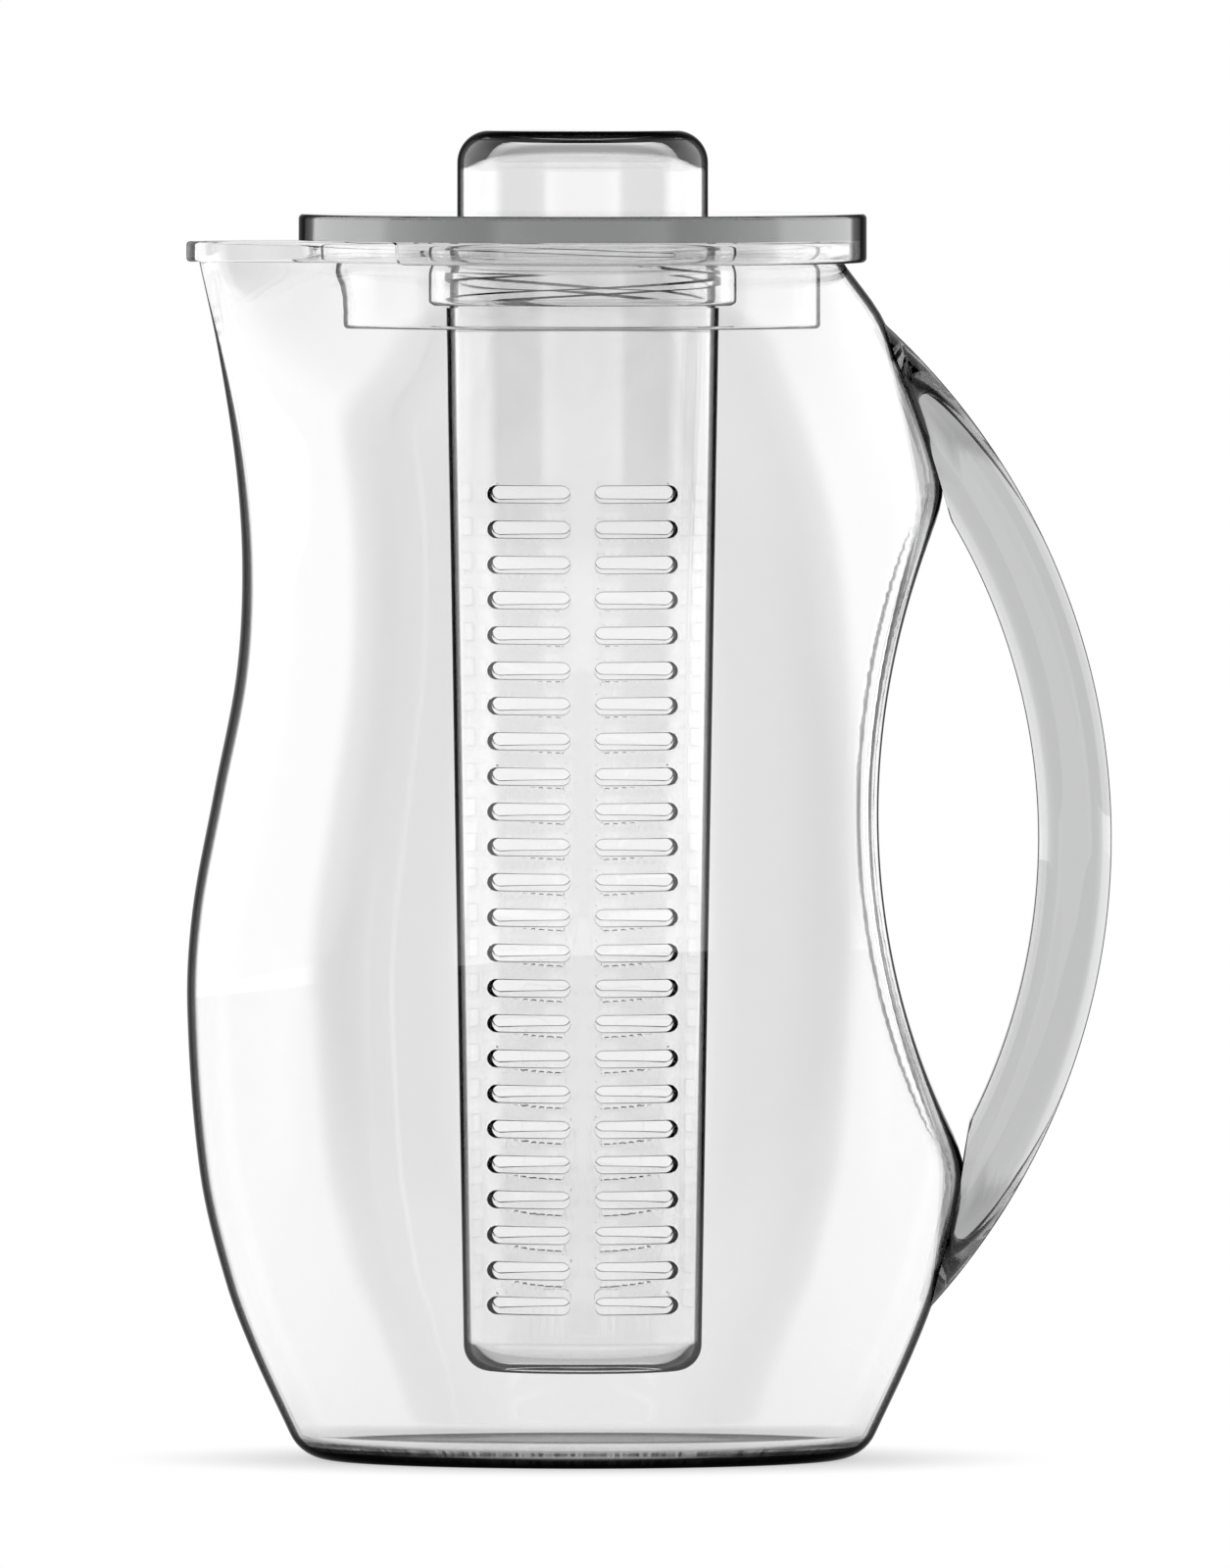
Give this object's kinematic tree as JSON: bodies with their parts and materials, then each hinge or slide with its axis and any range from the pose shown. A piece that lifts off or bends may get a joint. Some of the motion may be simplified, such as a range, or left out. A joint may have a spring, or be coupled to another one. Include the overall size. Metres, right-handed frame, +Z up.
{
  "type": "fruit infuser pitcher",
  "caption": "Clear plastic pitcher with beak spout, curved bonded handle, lift-off lid with hollow knob, and a slotted infuser tube screwed into the lid.",
  "frame": {"origin": "centre of the flat base, on the axis of the jug's barrel, at table height", "axes": "+Z up along the barrel's axis, +X towards the handle, -X towards the spout"},
  "size_m": [0.1887, 0.1622, 0.2712],
  "materials": {
    "clear_jug": "polished clear acrylic",
    "clear_lid": "polished clear acrylic",
    "clear_infuser": "polished clear acrylic"
  },
  "bodies": {
    "pitcher": {"pitcher_floor": "clear_jug", "pitcher_body": "clear_jug", "handle": "clear_jug"},
    "lid": {"lid_cover": "clear_lid", "lid_plug_ring": "clear_lid", "infuser_collar": "clear_lid", "lid_knob": "clear_lid"},
    "infuser": {"infuser_tube": "clear_infuser"}
  },
  "joints": [
    {"name": "lid_lift", "type": "slide", "parent": "pitcher", "child": "lid", "axis": [0, 0, 1], "range_m": [0, 0.245]},
    {"name": "infuser_unscrew", "type": "slide", "parent": "lid", "child": "infuser", "axis": [0, 0, -1], "range_m": [0, 0.0132]}
  ]
}
